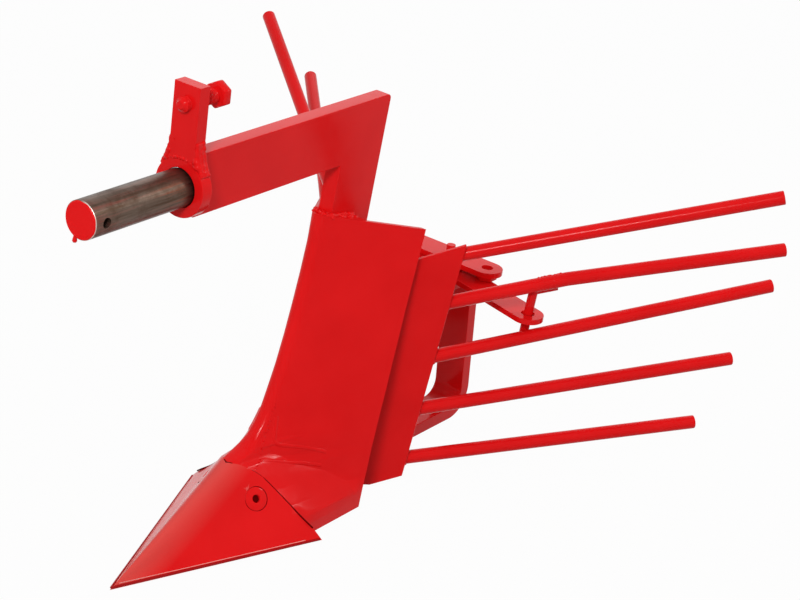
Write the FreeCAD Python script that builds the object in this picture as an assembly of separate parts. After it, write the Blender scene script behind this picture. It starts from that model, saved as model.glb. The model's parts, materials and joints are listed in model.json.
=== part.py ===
import FreeCAD, Part
import math
import os

# Ridging plough for a walking tractor. X is the plough's left, Y points rearward, Z up, in millimetres.
# The origin is on the hitch shaft's axis, at the front face of the boss ring.

V = FreeCAD.Vector
UP = V(0, 0, 1)

# hitch shaft, boss ring, stop lever and its set screw
shaft_diameter = 30.0
shaft_spigot_diameter = 28.6
shaft_reach = 104.0
pin_hole_diameter = 8.0
pin_hole_setback = 12.0
ring_diameter = 47.0
ring_gap = 0.4
ring_thickness = 11.0
lever_width = 25.0
lever_height = 81.0
screw_diameter = 12.0
screw_height = 66.0
screw_front_reach = 7.0
screw_rear_reach = 21.0
screw_head_width = 19.0
screw_head_height = 8.0

# beam and shank
beam_height = 50.0
beam_thickness = 14.0
beam_rear = 251.0
beam_corner_radius = 4.0
shank_width = 54.0
shank_rake = 6.5

# body: a bent sheet with a rounded nose
sheet_thickness = 4.0
body_top = -64.0
body_top_slope = 11.3
body_top_y = 170.0
body_bottom = -326.0
top_plate_thickness = 6.0
top_plate_rear = 214.0

# share: a folded plate, and the two bolts that hold it
share_point_y = -40.0
share_bottom = -332.0
share_profile_y = 160.0
share_thickness = 6.0
share_bolt_y = 101.0
share_bolt_ruling_x = 38.3
share_bolt_ruling_z = -274.0
share_bolt_diameter = 10.0
share_head_diameter = 20.0
share_nut_height = 8.0

# rear brace: a flat bar bent into a C
brace_width = 30.0
brace_thickness = 12.0
brace_top = -173.5
brace_bottom = -324.0
brace_rear_top = 415.0
brace_rear_bottom = 428.5
brace_front = 165.0
brace_bend_radius = 26.0

# adjusting links, their peg and the drilled plate above them
link_width = 28.0
link_thickness = 5.0
link_gap = 0.3
link_end_wall = 6.0
peg_diameter = 8.0
peg_y = 385.0
peg_top = -148.0
slot_clearance = 0.6
link_eye_diameter = 12.0
plate_width = 28.0
plate_hole_x = 39.0
plate_hole_diameter = 10.2
plate_y = 388.0
plate_nut_width = 17.0

# wings: hinge at (hinge_x, hinge_y), plate and rods at wing_angle from the direction of travel
hinge_x = 15.5
hinge_y = 216.0
hinge_pin_diameter = 10.0
hinge_clearance = 0.1
hinge_tube_diameter = 17.0
hinge_tube_top = -140.0
hinge_tube_bottom = -264.0
ear_thickness = 6.0
ear_gap = 0.4
ear_diameter = 15.0
ear_length = 42.0
ear_reach = 8.0
wing_angle = 45.0
wing_sheet = 4.0
wing_setback = 10.0
wing_front = 26.0
wing_rear_top = 94.7
wing_rear_bottom = 67.1
wing_top_rear_z = -97.4
wing_top_slope = 0.386
wing_bottom_rear_z = -319.8
wing_bottom_slope = 0.367
wing_lowest_z = -330.0
wing_closing = 4.5
wing_opening = 0.5

# rods: height where each leaves the plate's rear edge, then its knee and its tip as run along the plate,
# depth behind the hinge, and height
rod_diameter = 12.0
rod_lap = 30.0
rod_clear_run = 2.0
rod_heights = (-109.4, -154.6, -206.3, -257.2, -306.1)
rod_knees = ((), ((188.9, 22.3, -128.3),), (), (), ())
rod_tips = ((349.0, -25.0, -23.0), (379.0, 26.0, -91.0), (384.0, 52.0, -137.0), (363.0, 60.0, -214.0),
            (337.0, 52.0, -275.5))

# staple under rod 2 and behind rod 3, which carries the link's outer eye
staple_diameter = 8.0
staple_run = 162.9
staple_leg = 20.0
staple_upper_drop = 8.0
staple_lower_drop = 6.0
staple_seat = 0.25


def box(x0, x1, y0, y1, z0, z1):
    return Part.makeBox(x1 - x0, y1 - y0, z1 - z0, V(x0, y0, z0))


def rod_between(start, end, diameter):
    axis = end - start
    return Part.makeCylinder(diameter / 2, axis.Length, start, axis)


def bent_rod(points, diameter):
    solid = rod_between(points[0], points[1], diameter)
    for corner, after in zip(points[1:], points[2:]):
        solid = solid.fuse([Part.makeSphere(diameter / 2, corner), rod_between(corner, after, diameter)])
    return solid.removeSplitter()


def prism(points, direction):
    return Part.Face(Part.makePolygon(points + [points[0]])).extrude(direction)


def hexagon(width, height, base, axis):
    radius = width / math.sqrt(3)
    corners = [V(radius * math.cos(k * math.pi / 3), radius * math.sin(k * math.pi / 3), 0) for k in range(6)]
    solid = prism(corners, V(0, 0, height))
    solid.Placement = FreeCAD.Placement(base, FreeCAD.Rotation(UP, axis))
    return solid


def mirrored(shape):
    return shape.mirror(V(0, 0, 0), V(1, 0, 0))


def slab_yz(points, half_width):
    corners = [V(-half_width, y, z) for y, z in points]
    return prism(corners, V(2 * half_width, 0, 0))


def shank_rear(z):
    return beam_rear + (z - beam_height / 2) * math.tan(math.radians(shank_rake))


def shank_front(z):
    return shank_rear(z) - shank_width / math.cos(math.radians(shank_rake))


# ---- hitch ----

def hitch_shaft():
    shaft = rod_between(V(0, -shaft_reach, 0), V(0, 0, 0), shaft_diameter)
    front = [e for e in shaft.Edges if e.BoundBox.YMax < 1.0 - shaft_reach]
    shaft = shaft.makeChamfer(1.0, front)
    shaft = shaft.fuse(rod_between(V(0, 0, 0), V(0, ring_thickness, 0), shaft_spigot_diameter))
    hole_y = pin_hole_setback - shaft_reach
    hole = rod_between(V(-shaft_diameter, hole_y, 0), V(shaft_diameter, hole_y, 0), pin_hole_diameter)
    return shaft.cut(hole)


def boss_ring():
    ring = rod_between(V(0, 0, 0), V(0, ring_thickness, 0), ring_diameter)
    bore = rod_between(V(0, -1, 0), V(0, ring_thickness + 1, 0), shaft_diameter + 2 * ring_gap)
    return ring.cut(bore)


def stop_lever():
    half = lever_width / 2
    plate = box(-half, half, 0, ring_thickness, 0, lever_height)
    ring = rod_between(V(0, -1, 0), V(0, ring_thickness + 1, 0), ring_diameter)
    hole = rod_between(V(0, -1, screw_height), V(0, ring_thickness + 1, screw_height), screw_diameter)
    return plate.cut([ring, hole])


def set_screw():
    rear = ring_thickness + screw_rear_reach
    stud = rod_between(V(0, -screw_front_reach, screw_height), V(0, rear, screw_height), screw_diameter)
    head = hexagon(screw_head_width, screw_head_height, V(0, rear, screw_height), V(0, 1, 0))
    return stud.fuse(head)


# ---- beam and shank, mitred into one L ----

def frame_profile():
    half = beam_height / 2
    foot = brace_bottom + brace_thickness
    points = [(ring_thickness, -half), (shank_front(-half), -half), (shank_front(foot), foot),
              (shank_rear(foot), foot), (beam_rear, half), (ring_thickness, half)]
    slab = slab_yz(points, beam_thickness / 2)
    corner = [e for e in slab.Edges
              if all(abs(v.Y - beam_rear) < 1e-3 and abs(v.Z - half) < 1e-3 for v in e.Vertexes)]
    return slab.makeFillet(beam_corner_radius, corner)


def mitre_block():
    """Everything on the beam's side of the mitre between beam and shank."""
    half = beam_height / 2
    inner = V(0, shank_front(-half), -half)
    mitre = V(0, beam_rear, half) - inner
    outer = inner + mitre * 1.5
    points = [(0, -half), (inner.y, inner.z), (outer.y, outer.z), (0, outer.z)]
    return slab_yz(points, beam_thickness)


def beam():
    return frame_profile().common(mitre_block())


def shank():
    return frame_profile().cut(mitre_block())


# ---- body ----

# height, nose and rear corner of the sheet's outer face, from above the top edge to below the bottom edge
# height, nose, nose radius, knee of the foot's flare (where there is one) and rear edge
BODY_STATIONS = (
    (-30.0, 178.0, 8.0, None, (55.0, 265.3)),
    (-90.0, 172.5, 8.0, None, (54.0, 255.5)),
    (-118.0, 167.3, 8.0, None, (54.0, 249.6)),
    (-145.0, 161.3, 8.0, None, (54.0, 244.0)),
    (-170.0, 155.2, 8.0, None, (54.2, 238.9)),
    (-195.0, 148.0, 8.0, None, (54.5, 233.8)),
    (-213.0, 141.5, 8.0, None, (54.8, 230.1)),
    (-230.0, 135.0, 8.0, None, (55.0, 226.5)),
    (-242.0, 128.0, 8.0, None, (55.1, 224.0)),
    (-252.0, 120.0, 8.0, None, (55.2, 221.8)),
    (-259.0, 110.0, 9.0, (12.7, 131.0), (55.4, 220.3)),
    (-265.0, 91.5, 8.0, (14.0, 131.0), (55.5, 219.1)),
    (-268.5, 89.0, 14.0, (18.5, 140.0), (55.6, 218.3)),
    (-277.0, 83.2, 21.8, (27.0, 152.0), (55.7, 216.6)),
    (-287.5, 75.5, 29.5, (40.0, 178.0), (56.1, 214.4)),
    (-299.5, 62.7, 42.3, (50.0, 195.0), (56.5, 212.0)),
    (-309.0, 50.4, 54.6, (56.5, 198.0), (56.8, 210.0)),
    (-317.0, 48.0, 57.0, (57.0, 198.0), (57.0, 208.6)),
    (-345.0, 47.6, 57.4, (57.4, 196.0), (57.5, 204.0)),
)


def side_line(target, centre_y, radius):
    """Directions along and out of the line from the nose's arc to a target in plan."""
    to_target = math.atan2(target[0], target[1] - centre_y)
    angle = to_target - math.asin(radius / math.hypot(target[0], target[1] - centre_y))
    return V(math.sin(angle), math.cos(angle), 0), V(math.cos(angle), -math.sin(angle), 0)


def body_section(z, nose_y, nose_radius, knee, rear, inset, overrun):
    centre_y = nose_y + nose_radius
    along, outward = side_line(knee or rear, centre_y, nose_radius)
    bend = V(0, centre_y, z) + outward * (nose_radius - inset)
    rear = V(rear[0], rear[1], z)
    if knee:
        knee = V(knee[0], knee[1], z)
        along = rear - knee
        along.normalize()
        behind = V(along.y, -along.x, 0)
        rear = rear - behind * inset + along * overrun
        knee = knee - (outward + behind) * (inset / (outward + behind).Length)
    else:
        rear = rear - outward * inset + along * overrun
        knee = (bend + rear) * 0.5
    left = [rear, knee, bend]
    right = [V(-p.x, p.y, p.z) for p in left]
    nose = V(0, centre_y - nose_radius + inset, z)
    edges = [
        Part.LineSegment(left[0], left[1]).toShape(),
        Part.LineSegment(left[1], left[2]).toShape(),
        Part.Arc(left[2], nose, right[2]).toShape(),
        Part.LineSegment(right[2], right[1]).toShape(),
        Part.LineSegment(right[1], right[0]).toShape(),
        Part.LineSegment(right[0], left[0]).toShape(),
    ]
    return Part.Wire(edges)


def body_volume(inset, overrun=0.0):
    """The body's solid outline, drawn in by inset square to its sides and most of that downwards."""
    sections = [body_section(z - 0.8 * inset, nose_y, nose_radius, knee, rear, inset, overrun)
                for z, nose_y, nose_radius, knee, rear in BODY_STATIONS]
    return Part.makeLoft(sections, True, True)


def body_trim():
    """The space between the body's sloping top edge and its level bottom edge."""
    front, rear = -100.0, 300.0
    slope = math.tan(math.radians(body_top_slope))
    points = [
        (front, body_bottom),
        (rear, body_bottom),
        (rear, body_top - slope * (rear - body_top_y)),
        (front, body_top - slope * (front - body_top_y)),
    ]
    return slab_yz(points, 200.0)


def mouldboard():
    shell = body_volume(0).cut(body_volume(sheet_thickness, 12.0))
    shell = shell.common(body_trim())
    shell = shell.cut(share_outline().cut(share_inside()))
    shell = shell.cut([share_bolt_holes(), shank()])
    return max(shell.Solids, key=lambda solid: solid.Volume)


def top_plate():
    rear = top_plate_rear
    z = body_top - math.tan(math.radians(body_top_slope)) * (rear - body_top_y)
    slab = box(-80, 80, 100, rear, z - top_plate_thickness, z)
    slab.rotate(V(0, rear, z), V(1, 0, 0), -body_top_slope)
    return slab.common(body_volume(sheet_thickness)).cut(shank())


# ---- share ----

SHARE_PROFILE = (
    (0.0, -229.0),
    (8.0, -231.2),
    (15.0, -237.0),
    (24.6, -250.0),
    (34.3, -267.0),
    (46.8, -284.6),
    (64.7, -305.0),
    (80.6, -324.0),
)
SHARE_REAR = (
    (0.0, 90.4),
    (4.7, 93.0),
    (14.0, 102.3),
    (22.7, 112.4),
    (31.8, 119.2),
    (44.2, 125.7),
    (63.8, 135.2),
    (73.0, 138.5),
)


def share_profile():
    """The cone's cross section in an upright plane behind the share."""
    left = [V(x, share_profile_y, z) for x, z in SHARE_PROFILE]
    right = [V(-p.x, p.y, p.z) for p in reversed(left[1:])]
    curve = Part.BSplineCurve()
    curve.interpolate(right + left)
    return curve


def share_cone():
    """A cone with its tip at the share's point and the profile as its base."""
    curve = share_profile().toShape()
    ends = [vertex.Point for vertex in curve.Vertexes]
    base = Part.Wire([curve, Part.LineSegment(ends[1], ends[0]).toShape()])
    tip = Part.Vertex(V(0, share_point_y, share_bottom))
    return Part.makeLoft([tip, base], True, True)


def share_inside():
    """The cone set back and down by the plate's thickness."""
    inside = share_cone()
    inside.translate(V(0, 0.65 * share_thickness, -1.15 * share_thickness))
    return inside


def share_outline():
    """Plan outline with the bowed rear edge, from below the ground up."""
    side, front = 110.0, -100.0
    left = list(SHARE_REAR) + [(side, SHARE_REAR[-1][1]), (side, front)]
    right = [(-x, y) for x, y in reversed(left[1:])]
    return prism([V(x, y, share_bottom - 10) for x, y in left + right], V(0, 0, 150))


def share():
    plate = share_cone().cut(share_inside())
    return plate.common(share_outline()).cut(share_bolt_holes())


def share_bolt_axis():
    """A point on the share's left face and the direction square into it."""
    curve = share_profile()
    at = curve.parameter(V(share_bolt_ruling_x, share_profile_y, share_bolt_ruling_z))
    tip = V(0, share_point_y, share_bottom)
    ruling = curve.value(at) - tip
    point = tip + ruling * ((share_bolt_y - share_point_y) / ruling.y)
    normal = ruling.cross(curve.tangent(at)[0])
    normal.normalize()
    return point, normal * (-1 if normal.x > 0 else 1)


def share_bolt_holes():
    point, inward = share_bolt_axis()
    hole = rod_between(point - inward * 10, point + inward * 30, share_bolt_diameter + 0.4)
    seat = rod_between(point - inward * 10, point + inward * 2.5, share_head_diameter + 0.6)
    left = hole.fuse(seat)
    return left.fuse(mirrored(left))


def share_bolt():
    point, inward = share_bolt_axis()
    head = rod_between(point - inward * 0.8, point + inward * 2.5, share_head_diameter)
    depth = share_thickness + sheet_thickness + share_nut_height + 4.0
    return head.fuse(rod_between(point, point + inward * depth, share_bolt_diameter))


def share_nut():
    point, inward = share_bolt_axis()
    base = point + inward * (share_thickness + 1.0)
    nut = hexagon(plate_nut_width, share_nut_height + sheet_thickness, base, inward)
    bore = rod_between(base - inward * 5, base + inward * 30, share_bolt_diameter)
    return nut.cut(bore).cut(mouldboard_solid)


# ---- rear brace and link adjuster ----

def rear_brace():
    t = brace_thickness
    lean = (brace_rear_bottom - brace_rear_top) / (brace_top - brace_bottom)
    points = [
        (shank_rear(brace_top), brace_top),
        (brace_rear_top, brace_top),
        (brace_rear_bottom, brace_bottom),
        (brace_front, brace_bottom),
        (brace_front, brace_bottom + t),
        (brace_rear_bottom - t - lean * t, brace_bottom + t),
        (brace_rear_top - t + lean * t, brace_top - t),
        (shank_rear(brace_top - t), brace_top - t),
    ]
    bar = slab_yz(points, brace_width / 2)
    for index, radius in ((1, brace_bend_radius), (2, brace_bend_radius),
                          (5, brace_bend_radius - t), (6, brace_bend_radius - t)):
        y, z = points[index]
        bend = [e for e in bar.Edges
                if all(abs(v.Y - y) < 1e-3 and abs(v.Z - z) < 1e-3 for v in e.Vertexes)]
        bar = bar.makeFillet(radius, bend)
    return bar


def link_levels():
    """Underside heights of the left link, the right link and the drilled plate, stacked on the brace."""
    left = brace_top + link_gap
    right = left + link_thickness + link_gap
    return left, right, right + link_thickness + link_gap


def adjuster_peg():
    return rod_between(V(0, peg_y, brace_top), V(0, peg_y, peg_top), peg_diameter)


def rounded_bar(start, end, width, z, thickness):
    along = end - start
    bar = Part.makeBox(along.Length, width, thickness, V(0, -width / 2, 0))
    bar = bar.fuse([Part.makeCylinder(width / 2, thickness, V(0, 0, 0), UP),
                    Part.makeCylinder(width / 2, thickness, V(along.Length, 0, 0), UP)])
    turn = math.degrees(math.atan2(along.y, along.x))
    bar.Placement = FreeCAD.Placement(V(start.x, start.y, z), FreeCAD.Rotation(UP, turn))
    return bar.removeSplitter()


def adjuster_plate():
    z = link_levels()[2]
    plate = rounded_bar(V(-plate_hole_x, plate_y, 0), V(plate_hole_x, plate_y, 0), plate_width, z, link_thickness)
    holes = [rod_between(V(x, plate_y, z - 1), V(x, plate_y, z + link_thickness + 1), plate_hole_diameter)
             for x in (-plate_hole_x, plate_hole_x)]
    return plate.cut(holes + [adjuster_peg()])


def adjuster_nut():
    top = link_levels()[2]
    bottom = link_levels()[1]
    nut = hexagon(plate_nut_width, top - bottom, V(plate_hole_x, plate_y, bottom), UP)
    return nut.cut(rod_between(V(plate_hole_x, plate_y, bottom - 1), V(plate_hole_x, plate_y, top + 1),
                               plate_hole_diameter))


# ---- wings: built in the hinge's own frame, x along the plate, y square to it and rearward ----

def wing_place(shape):
    placed = shape.copy()
    placed.Placement = FreeCAD.Placement(V(hinge_x, hinge_y, 0), FreeCAD.Rotation(UP, 90 - wing_angle))
    return placed


def wing_edge(z):
    """Distance of the wing's rear edge from the hinge at height z."""
    share_of_height = (z - wing_bottom_rear_z) / (wing_top_rear_z - wing_bottom_rear_z)
    return wing_rear_bottom + share_of_height * (wing_rear_top - wing_rear_bottom)


def wing_plate():
    lowest = wing_rear_bottom - (wing_bottom_rear_z - wing_lowest_z) / wing_bottom_slope
    corners = [
        V(wing_front, wing_setback, wing_top_rear_z - wing_top_slope * (wing_rear_top - wing_front)),
        V(wing_rear_top, wing_setback, wing_top_rear_z),
        V(wing_rear_bottom, wing_setback, wing_bottom_rear_z),
        V(lowest, wing_setback, wing_lowest_z),
        V(wing_front, wing_setback, wing_lowest_z),
    ]
    return wing_place(prism(corners, V(0, wing_sheet, 0)))


def wing_ear(z):
    radius = ear_diameter / 2
    inner = wing_setback + wing_sheet
    corners = [V(radius / 3, -radius * 0.93, z), V(wing_front - 1, wing_setback, z), V(wing_front - 1, inner, z),
               V(ear_length, inner, z), V(ear_length, inner + ear_reach, z), V(-radius * 0.7, radius * 0.7, z)]
    web = prism(corners, V(0, 0, ear_thickness))
    eye = Part.makeCylinder(radius, ear_thickness, V(0, 0, z))
    hole = Part.makeCylinder(hinge_pin_diameter / 2 + hinge_clearance, ear_thickness + 2, V(0, 0, z - 1))
    return wing_place(web.fuse(eye).cut(hole))


def wing_ears():
    upper = wing_ear(hinge_tube_top + ear_gap)
    lower = wing_ear(hinge_tube_bottom - ear_gap - ear_thickness)
    return Part.makeCompound([upper, lower])


def hinge_tube():
    axis = V(hinge_x, hinge_y, 0)
    length = hinge_tube_top - hinge_tube_bottom
    base = axis + UP * hinge_tube_bottom
    tube = Part.makeCylinder(hinge_tube_diameter / 2, length, base)
    bore = Part.makeCylinder(hinge_pin_diameter / 2 + hinge_clearance, length + 2, base - UP)
    return tube.cut(bore)


def hinge_pin():
    axis = V(hinge_x, hinge_y, 0)
    top = hinge_tube_top + 2 * ear_gap + ear_thickness
    bottom = hinge_tube_bottom - 2 * ear_gap - ear_thickness
    pin = Part.makeCylinder(hinge_pin_diameter / 2, top - bottom, axis + UP * bottom)
    head = Part.makeCylinder(hinge_tube_diameter / 2 - 1, 4, axis + UP * top)
    washer = Part.makeCylinder(hinge_tube_diameter / 2 - 1, 3, axis + UP * (bottom - 3))
    return pin.fuse([head, washer])


def rod_path(index):
    """A rod's axis: its front end behind the plate, the plate's rear edge, any knee, and the tip."""
    depth = wing_setback + wing_sheet + rod_diameter / 2
    edge = wing_edge(rod_heights[index])
    corner = V(edge + rod_clear_run, depth, rod_heights[index])
    path = [corner] + [V(*knee) for knee in rod_knees[index]] + [V(*rod_tips[index])]
    slope = (path[1].z - corner.z) / (path[1].x - corner.x)
    return [V(edge - rod_lap, depth, corner.z - slope * (rod_lap + rod_clear_run))] + path


def rod_axis(index, run):
    path = rod_path(index)
    start, end = next(pair for pair in zip(path, path[1:]) if run <= pair[1].x)
    return start + (end - start) * ((run - start.x) / (end.x - start.x))


def rod(index):
    return wing_place(bent_rod(rod_path(index), rod_diameter))


def staple_path():
    """Foot under rod 2, a leg down to behind rod 3, and a foot along rod 3."""
    reach = (rod_diameter + staple_diameter) / 2 + staple_seat
    under = V(0, math.sqrt(reach ** 2 - staple_upper_drop ** 2), -staple_upper_drop)
    behind = V(0, reach * 1.18, -staple_lower_drop)
    far = staple_run + staple_leg
    return [rod_axis(1, far) + under, rod_axis(1, staple_run) + under,
            rod_axis(2, staple_run) + behind, rod_axis(2, far) + behind]


def staple():
    return wing_place(bent_rod(staple_path(), staple_diameter))


def staple_centre(level, closing=0.0):
    """Where the staple's leg stands at a height, once the wing has closed by an angle in degrees."""
    upper, lower = staple_path()[1:3]
    depth = upper.y + (lower.y - upper.y) * (upper.z - level) / (upper.z - lower.z)
    turn = math.radians(90 - wing_angle + closing)
    along = V(math.cos(turn), math.sin(turn), 0)
    behind = V(-math.sin(turn), math.cos(turn), 0)
    return V(hinge_x, hinge_y, 0) + along * staple_run + behind * depth


def link(level):
    peg = V(0, peg_y, 0)
    middle = level + link_thickness / 2
    eye = staple_centre(middle)
    along = peg - eye
    along.normalize()
    nearest = (peg - staple_centre(middle, wing_closing)).Length
    farthest = (peg - staple_centre(middle, -wing_opening)).Length
    slot_width = peg_diameter + 2 * slot_clearance
    end = eye + along * (farthest + slot_width / 2 + link_end_wall - link_width / 2)
    bar = rounded_bar(eye, end, link_width, level, link_thickness)
    slot = rounded_bar(eye + along * nearest, eye + along * farthest, slot_width, level - 1, link_thickness + 2)
    hole = Part.makeCylinder(link_eye_diameter / 2, link_thickness + 2, eye + UP * (level - 1))
    return bar.cut([slot, hole])


mouldboard_solid = mouldboard()
left_level, right_level, plate_level = link_levels()

nodes = {
    "hitch_shaft": hitch_shaft(),
    "boss_ring": boss_ring(),
    "stop_lever": stop_lever(),
    "set_screw": set_screw(),
    "beam": beam(),
    "shank": shank(),
    "mouldboard": mouldboard_solid,
    "top_plate": top_plate(),
    "share": share(),
    "share_bolts": Part.makeCompound([share_bolt(), mirrored(share_bolt())]),
    "share_nuts": Part.makeCompound([share_nut(), mirrored(share_nut())]),
    "rear_brace": rear_brace(),
    "adjuster_peg": adjuster_peg(),
    "adjuster_plate": adjuster_plate(),
    "adjuster_nut": adjuster_nut(),
    "hinge_tubes": Part.makeCompound([hinge_tube(), mirrored(hinge_tube())]),
    "hinge_pins": Part.makeCompound([hinge_pin(), mirrored(hinge_pin())]),
}
wing_pieces = {"wing_plate": wing_plate(), "wing_ears": wing_ears(), "staple": staple()}
for number in range(1, len(rod_heights) + 1):
    wing_pieces["rod_%d" % number] = rod(number - 1)
for name, shape in wing_pieces.items():
    nodes[name + "_left"] = shape
    nodes[name + "_right"] = mirrored(shape)
nodes["link_left"] = link(left_level)
nodes["link_right"] = mirrored(link(right_level))

os.makedirs("parts", exist_ok=True)
for name, shape in nodes.items():
    shape.exportStep("parts/%s.step" % name)
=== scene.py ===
import json
import math
import random

import bmesh
import bpy
from mathutils import Matrix, Vector
from mathutils.bvhtree import BVHTree

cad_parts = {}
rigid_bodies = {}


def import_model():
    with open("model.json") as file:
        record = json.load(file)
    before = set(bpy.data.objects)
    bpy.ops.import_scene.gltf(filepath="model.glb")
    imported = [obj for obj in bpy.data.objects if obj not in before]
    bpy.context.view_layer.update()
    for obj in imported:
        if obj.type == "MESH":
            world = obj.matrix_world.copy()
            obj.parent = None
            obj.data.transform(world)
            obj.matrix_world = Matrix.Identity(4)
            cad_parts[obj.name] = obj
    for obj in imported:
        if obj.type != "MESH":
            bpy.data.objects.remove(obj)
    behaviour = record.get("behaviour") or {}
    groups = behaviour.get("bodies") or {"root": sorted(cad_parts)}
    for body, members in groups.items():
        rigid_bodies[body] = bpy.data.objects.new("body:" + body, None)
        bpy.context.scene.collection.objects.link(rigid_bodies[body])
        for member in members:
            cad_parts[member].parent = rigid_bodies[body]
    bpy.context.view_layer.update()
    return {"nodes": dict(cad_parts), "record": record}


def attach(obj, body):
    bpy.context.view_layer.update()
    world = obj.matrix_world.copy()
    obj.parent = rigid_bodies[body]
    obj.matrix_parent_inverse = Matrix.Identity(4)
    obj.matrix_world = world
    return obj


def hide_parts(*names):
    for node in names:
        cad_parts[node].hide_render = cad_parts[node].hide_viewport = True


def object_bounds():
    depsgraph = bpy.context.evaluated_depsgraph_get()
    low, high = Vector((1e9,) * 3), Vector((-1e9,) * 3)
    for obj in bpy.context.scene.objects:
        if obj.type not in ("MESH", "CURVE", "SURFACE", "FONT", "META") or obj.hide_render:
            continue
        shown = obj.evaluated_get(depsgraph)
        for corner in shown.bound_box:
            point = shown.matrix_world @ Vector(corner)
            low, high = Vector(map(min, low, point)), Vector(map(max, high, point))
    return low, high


for leftover in list(bpy.data.objects):
    bpy.data.objects.remove(leftover)
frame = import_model()
mm = 0.001
print("frame loaded:", len(frame["nodes"]), "nodes")


def linear(hexCode):
    # sRGB hex to the linear colour that shaders take
    values = [int(hexCode[i:i + 2], 16) / 255 for i in (0, 2, 4)]
    return [v / 12.92 if v <= 0.04045 else ((v + 0.055) / 1.055) ** 2.4 for v in values] + [1.0]


def addNode(tree, kind, settings=None, **links):
    # settings name a socket or a property, links name a socket with underscores for spaces
    node = tree.nodes.new(kind)
    for name, value in (settings or {}).items():
        if hasattr(node, name):
            setattr(node, name, value)
        else:
            node.inputs[name].default_value = value
    for name, source in links.items():
        tree.links.new(source, node.inputs[name.replace("_", " ")])
    return node


def newMaterial(name):
    material = bpy.data.materials.new(name)
    material.use_nodes = True
    tree = material.node_tree
    tree.nodes.clear()
    output = tree.nodes.new("ShaderNodeOutputMaterial")
    place = tree.nodes.new("ShaderNodeTexCoord").outputs["Object"]
    return material, tree, output, place


def mixColour(tree, factor, first, second):
    # first and second are colours or sockets; a colour mix takes them at its inputs 6 and 7
    node = tree.nodes.new("ShaderNodeMix")
    node.data_type = "RGBA"
    for index, value in ((0, factor), (6, first), (7, second)):
        if isinstance(value, bpy.types.NodeSocket):
            tree.links.new(value, node.inputs[index])
        else:
            node.inputs[index].default_value = value
    return node.outputs[2]


def ramp(tree, source, low, high, lowValue=0.0, highValue=1.0):
    node = addNode(tree, "ShaderNodeMapRange", {"clamp": True, "From Min": low, "From Max": high,
                                                "To Min": lowValue, "To Max": highValue}, Value=source)
    return node.outputs["Result"]


# Alkyd enamel sprayed in one coat on mild steel: a clean deep red with a wet gloss, a faint orange peel,
# thin places that are a little darker, dull scuffs, and the odd dust nib. Its IOR is under a real enamel's,
# so that pale surroundings don't turn it pink.
enamel = {
    "body": "DE1416",
    "thin": "D61012",
    "dull": "C41A1A",
    "ior": 1.17,
    "roughness": 0.15,
    "cloudMm": 60.0,           # width of a thick or thin patch of paint
    "cloudRange": (0.35, 0.7),
    "scuffMm": 7.0,
    "scuffRange": (0.66, 0.74),
    "scuffStrength": 0.35,
    "matRange": (0.5, 0.75),   # how scuffed it is where the gloss starts and stops to fade
    "matRoughness": 0.14,      # added where it has faded
    "peelMm": 2.2,             # width of one orange peel dimple
    "peelDepthMm": 0.05,
    "peelStrength": 0.35,
    "nibMm": 9.0,              # spacing of dust nibs, drawn larger than real so that they show
    "nibSize": 0.06,           # as a part of that spacing
    "nibHeightMm": 0.25,
    "nibStrength": 0.5,
}

# Soil rubs the share's enamel paler on its sharp edges. A pale band to each side of its crest is painted
# reflection.
shareWearAndSheen = {
    "amount": 0.3,
    "edge": "E9A29B",
    "crest": "C97A70",
    "crestSheenMm": (2.0, 17.0),    # painted reflection full up to the first, none past the second
    "sharpRange": (0.53, 0.6),
    "patchRange": (0.45, 0.6),
    "rubRange": (0.1, 0.9),
}


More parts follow.
